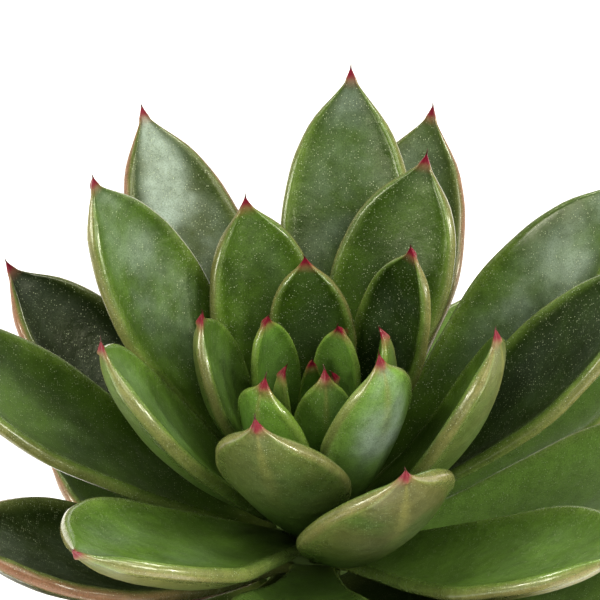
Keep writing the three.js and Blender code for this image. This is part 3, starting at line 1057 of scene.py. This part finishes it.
@dataclass
class Pot:
    """The clay pot, turned on a wheel, with faint throwing marks."""

    sides: int = 168
    step: float = 1.0 * MM
    mark_depth: float = 0.09 * MM
    mark_pitch: float = 3.1 * MM
    wobble: float = 0.18 * MM
    finish: ClayFinish = field(default_factory=ClayFinish)

    def build(self) -> bpy.types.Object:
        """Turns the pot from its solid's profile.

        Returns:
            The pot.
        """
        profile = profile_of("pot")
        fine = refine([*profile, profile[0]], self.step)[:-1]
        tall = max(z for _, z in fine)
        area = sum(a[0] * b[1] - b[0] * a[1] for a, b in zip(fine, fine[1:] + fine[:1]))
        if area < 0:
            fine.reverse()
        points = []
        for radius, height in fine:
            for i in range(self.sides):
                angle = 2 * math.pi * i / self.sides
                ahead = Vector((math.cos(angle), math.sin(angle), height * 14))
                mark = math.sin(height / self.mark_pitch * 2 * math.pi + angle)
                uneven = self.mark_depth * (mark - 1) * (0.6 + 0.4 * noise.noise(ahead * 2.1))
                uneven += self.wobble * (noise.noise(ahead * 0.8) - 0.5)
                if height < 2 * MM or radius < 10 * MM:
                    uneven = 0.0
                r = radius + uneven
                points.append((r * math.cos(angle), r * math.sin(angle), height))
        rings = len(fine)
        faces = ring_faces(rings, self.sides)
        last = (rings - 1) * self.sides
        for i in range(self.sides):
            j = (i + 1) % self.sides
            faces.append((last + i, last + j, j, i))
        traits = np.array([(z / tall, 0.0, 0.0) for _, z in fine for _ in range(self.sides)])
        return add_piece(
            "pot_shell", np.array(points), faces, self.finish.make(), "pot",
            {"turned_place": traits},
        )


@dataclass
class Stem:
    """The short stem, ringed by old leaf scars, and the crown above it."""

    sides: int = 72
    step: float = 0.7 * MM
    scar_pitch: float = 2.6 * MM
    scar_depth: float = 0.28 * MM
    rough: float = 0.35 * MM
    finish: StemFinish = field(default_factory=StemFinish)

    def build(self) -> bpy.types.Object:
        """Turns the stem from its solid's profile.

        Returns:
            The stem.
        """
        profile = [p for p in profile_of("stem") if p[0] > ON_AXIS]
        low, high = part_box("stem")
        fine = refine(profile, self.step)
        points = []
        for radius, height in fine:
            for i in range(self.sides):
                angle = 2 * math.pi * i / self.sides
                ahead = Vector((math.cos(angle) * 5, math.sin(angle) * 5, height / MM * 0.35))
                scar = math.sin(height / self.scar_pitch * 2 * math.pi + 2 * angle)
                uneven = self.scar_depth * (scar - 1) / 2 + self.rough * (noise.noise(ahead) - 0.5)
                r = max(radius + uneven, 0.1 * MM)
                points.append((r * math.cos(angle), r * math.sin(angle), height))
        faces = capped_faces(len(fine), self.sides)
        points += [(0.0, 0.0, low.z), (0.0, 0.0, high.z)]
        span = high.z - low.z
        traits = np.array([((p[2] - low.z) / span, 0.0, 0.0) for p in points])
        return add_piece(
            "stem_and_crown", np.array(points), faces, self.finish.make(), "stem",
            {"turned_place": traits},
        )


@dataclass
class PottingMix:
    """The mix that fills the pot: a crumbly body with lumps and grit on its surface."""

    sides: int = 120
    step: float = 0.9 * MM
    crumble: float = 0.75 * MM
    lumps: int = 620
    grits: int = 260
    largest: float = 1.9 * MM
    smallest: float = 0.6 * MM
    body_finish: MixFinish = MixFinish("mix_peat", "#20150d", "#4a3524")
    lump_finish: MixFinish = MixFinish("mix_bark", "#2b1b10", "#6b4c31")
    grit_finish: MixFinish = MixFinish("mix_grit", "#a89c86", "#e2dccb")

    def surface(self) -> list[tuple[float, float]]:
        """Radius and height along the mix's upper surface, from the stem out to the wall."""
        corners = profile_of("soil")
        low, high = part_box("soil")
        top = [p for p in corners if p[1] > high.z - (high.z - low.z) * 0.08]
        return sorted(top)

    def build(self) -> list[bpy.types.Object]:
        """Builds the body, the lumps and the grit.

        Returns:
            The three pieces.
        """
        return [self.build_body(), *self.scatter()]

    def build_body(self) -> bpy.types.Object:
        """Turns the body and crumbles its upper surface.

        Returns:
            The body.
        """
        profile = profile_of("soil")
        ends = [p for p in profile if p[0] < ON_AXIS]
        fine = refine([p for p in profile if p[0] > ON_AXIS], self.step)
        top = self.surface()
        floor = min(z for _, z in top) - 1 * MM
        inner, outer = top[0][0], top[-1][0]
        points = []
        for radius, height in fine:
            for i in range(self.sides):
                angle = 2 * math.pi * i / self.sides
                x, y = radius * math.cos(angle), radius * math.sin(angle)
                free = height > floor and inner + MM < radius < outer - 0.5 * MM
                lift = noise.fractal(Vector((x, y, 0.0)) / (2.2 * MM), 1.0, 2.0, 4) if free else 0.0
                points.append((x, y, height + self.crumble * (lift * 0.5 - 0.35) * free))
        faces = capped_faces(len(fine), self.sides)
        points += [(0.0, 0.0, ends[0][1]), (0.0, 0.0, ends[-1][1])]
        finish = self.body_finish
        return add_piece("mix_body", np.array(points), faces, finish.make(), "soil")

    def lump(self, chance: np.random.Generator) -> tuple[np.ndarray, list[tuple[int, ...]]]:
        """Makes one rough lump about the origin, one unit across.

        Args:
            chance: Where its shape comes from.

        Returns:
            Its points and faces.
        """
        shell = bmesh.new()
        bmesh.ops.create_icosphere(shell, subdivisions=2, radius=0.5)
        shift = Vector(chance.uniform(-50, 50, size=3).tolist())
        for v in shell.verts:
            v.co *= 1 + 0.55 * (noise.noise(v.co * 3.1 + shift))
        points = np.array([v.co[:] for v in shell.verts])
        faces = [tuple(v.index for v in f.verts) for f in shell.faces]
        shell.free()
        return points, faces

    def scatter(self) -> list[bpy.types.Object]:
        """Strews lumps and grit over the surface.

        Returns:
            One piece of lumps and one of grit.
        """
        chance = np.random.default_rng(77)
        shapes = [self.lump(chance) for _ in range(6)]
        top = self.surface()
        radii, heights = np.array([p[0] for p in top]), np.array([p[1] for p in top])
        pieces = []
        for name, count, finish in (
            ("mix_lumps", self.lumps, self.lump_finish),
            ("mix_grit", self.grits, self.grit_finish),
        ):
            points: list[np.ndarray] = []
            faces: list[tuple[int, ...]] = []
            total = 0
            for _ in range(count):
                shape, shape_faces = shapes[chance.integers(len(shapes))]
                size = self.smallest + (self.largest - self.smallest) * chance.uniform() ** 2
                room = size * 0.7
                inner, outer = radii[0] + room, radii[-1] - room
                radius = math.sqrt(chance.uniform(inner**2, outer**2))
                angle = chance.uniform(0, 2 * math.pi)
                height = float(np.interp(radius, radii, heights)) - 0.12 * size
                stretch = np.diag(chance.uniform(0.65, 1.15, size=3)) * size
                axis = Vector(unit(chance.normal(size=3)).tolist())
                spin = np.array(Matrix.Rotation(chance.uniform(0, 6.28), 3, axis))
                middle = np.array([radius * math.cos(angle), radius * math.sin(angle), height])
                points.append(shape @ stretch @ spin.T + middle)
                faces += [tuple(i + total for i in f) for f in shape_faces]
                total += len(shape)
            pieces.append(add_piece(name, np.vstack(points), faces, finish.make(), None))
        return pieces


# ---- Studio -----------------------------------------------------------------------------


@dataclass
class Softbox:
    """A soft square lamp that looks at the plant."""

    name: str
    azimuth: float
    elevation: float
    size: float
    watts: float
    tint: Colour
    distance: float = 1.2

    def hang(self, aim: Vector) -> bpy.types.Object:
        """Hangs the lamp.

        Args:
            aim: What it points at.

        Returns:
            The lamp.
        """
        lamp = bpy.data.lights.new(self.name, "AREA")
        lamp.energy = self.watts
        lamp.size = self.size
        lamp.color = self.tint
        hung = bpy.data.objects.new(self.name, lamp)
        turn, rise = math.radians(self.azimuth), math.radians(self.elevation)
        way = Vector((math.cos(rise) * math.cos(turn), math.cos(rise) * math.sin(turn), math.sin(rise)))
        hung.location = aim + way * self.distance
        hung.rotation_euler = way.to_track_quat("Z", "Y").to_euler()
        hung.visible_camera = False
        bpy.context.scene.collection.objects.link(hung)
        return hung


@dataclass
class Studio:
    """A pale floor, soft lamps and the camera."""

    wall_radius: float = 2.4
    wall_height: float = 1.0
    wall_sides: int = 64
    cove_radius: float = 0.6
    cove_steps: int = 10
    glow: float = 0.22
    elevation: float = 44.0
    distance: float = 0.6
    lens: float = 194.4
    sensor: float = 36.0
    nearest: float = 0.01
    farthest: float = 20.0
    room_light: float = 0.08
    aim_side: float = -3.3 * MM
    aim_over_apex: float = 48.55 * MM
    lamps: tuple[Softbox, ...] = (
        Softbox("front_left_box", -142.0, 27.0, size=0.3, watts=6.5, tint=WARM),
        Softbox("front_right_box", -40.0, 28.0, size=0.26, watts=6.5, tint=WARM),
        Softbox("left_edge_strip", -163.0, 19.0, size=0.12, watts=4.0, tint=WARM),
        Softbox("right_edge_strip", -17.0, 19.0, size=0.12, watts=6.0, tint=WARM),
        Softbox("fill_box", -76.0, 50.0, size=0.6, watts=5.4, tint=WARM),
        Softbox("high_right_box", -30.0, 52.0, size=0.3, watts=4.0, tint=WARM),
        Softbox("back_left_strip", 155.0, 42.0, size=0.2, watts=7.0, tint=WARM),
        Softbox("back_right_strip", 25.0, 42.0, size=0.2, watts=7.0, tint=WARM),
        Softbox("back_box", 92.0, 62.0, size=0.5, watts=8.0, tint=WARM),
    )

    def build(self) -> None:
        """Lays the floor, hangs the lamps and sets up the camera."""
        _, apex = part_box("stem")
        aim = Vector((self.aim_side, 0.0, apex.z + self.aim_over_apex))
        self.lay_floor()
        self.light_room()
        for lamp in self.lamps:
            lamp.hang(aim)
        self.place_camera(aim)

    def lay_floor(self) -> None:
        """Lays a round pale floor that sweeps up into a low wall, softly lit by itself."""
        low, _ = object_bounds()
        swing = np.linspace(0.0, math.pi / 2, self.cove_steps + 1)
        inner = self.wall_radius - self.cove_radius
        profile = [(0.4 * inner, 0.0), (inner, 0.0)]
        profile += [
            (inner + self.cove_radius * math.sin(a), self.cove_radius * (1 - math.cos(a))) for a in swing[1:]
        ]
        profile.append((self.wall_radius, self.wall_height))
        points = [(0.0, 0.0, low[2])]
        for radius, height in profile:
            for i in range(self.wall_sides):
                angle = 2 * math.pi * i / self.wall_sides
                points.append((radius * math.cos(angle), radius * math.sin(angle), low[2] + height))
        tube = ring_faces(len(profile), self.wall_sides)
        faces = [tuple(i + 1 for i in reversed(face)) for face in tube]
        faces += [(0, 1 + i, 1 + (i + 1) % self.wall_sides) for i in range(self.wall_sides)]
        mesh = bpy.data.meshes.new("studio_floor")
        mesh.from_pydata(points, [], faces)
        mesh.polygons.foreach_set("use_smooth", [True] * len(mesh.polygons))
        r = Recipe("studio_paper")
        r.shader.inputs["Base Color"].default_value = (0.9, 0.9, 0.9, 1.0)
        r.shader.inputs["Roughness"].default_value = 0.9
        r.shader.inputs["Emission Color"].default_value = (1.0, 1.0, 1.0, 1.0)
        r.shader.inputs["Emission Strength"].default_value = self.glow
        mesh.materials.append(r.material)
        floor = bpy.data.objects.new("studio_floor", mesh)
        bpy.context.scene.collection.objects.link(floor)
        floor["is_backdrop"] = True

    def light_room(self) -> None:
        """Fills the room with a soft even light."""
        scene = bpy.context.scene
        scene.view_settings.view_transform = "Standard"
        world = bpy.data.worlds.new("studio_room")
        world.use_nodes = True
        sky = world.node_tree.nodes["Background"]
        sky.inputs["Color"].default_value = (1.0, 1.0, 1.0, 1.0)
        sky.inputs["Strength"].default_value = self.room_light
        scene.world = world

    def place_camera(self, aim: Vector) -> None:
        """Places the camera in front of the plant, looking down into the rosette.

        Args:
            aim: The point in the middle of the picture.
        """
        eye = bpy.data.cameras.new("camera")
        eye.lens = self.lens
        eye.sensor_width = self.sensor
        eye.clip_start = self.nearest
        eye.clip_end = self.farthest
        camera = bpy.data.objects.new("camera", eye)
        rise = math.radians(self.elevation)
        way = Vector((0.0, -math.cos(rise), math.sin(rise)))
        camera.location = aim + way * self.distance
        camera.rotation_euler = way.to_track_quat("Z", "Y").to_euler()
        bpy.context.scene.collection.objects.link(camera)
        bpy.context.scene.camera = camera


def main() -> None:
    """Builds the plant, the pot and the studio, and logs each piece's number of points."""
    logging.basicConfig(level=logging.INFO, format="%(name)s: %(message)s")
    Studio().build()
    LOG.info("studio is set")
    pieces = [Pot().build(), *PottingMix().build(), Stem().build(), *Rosette().build()]
    for piece in pieces:
        LOG.info("%s: %d points", piece.name, len(piece.data.vertices))


if __name__ == "__main__":
    main()
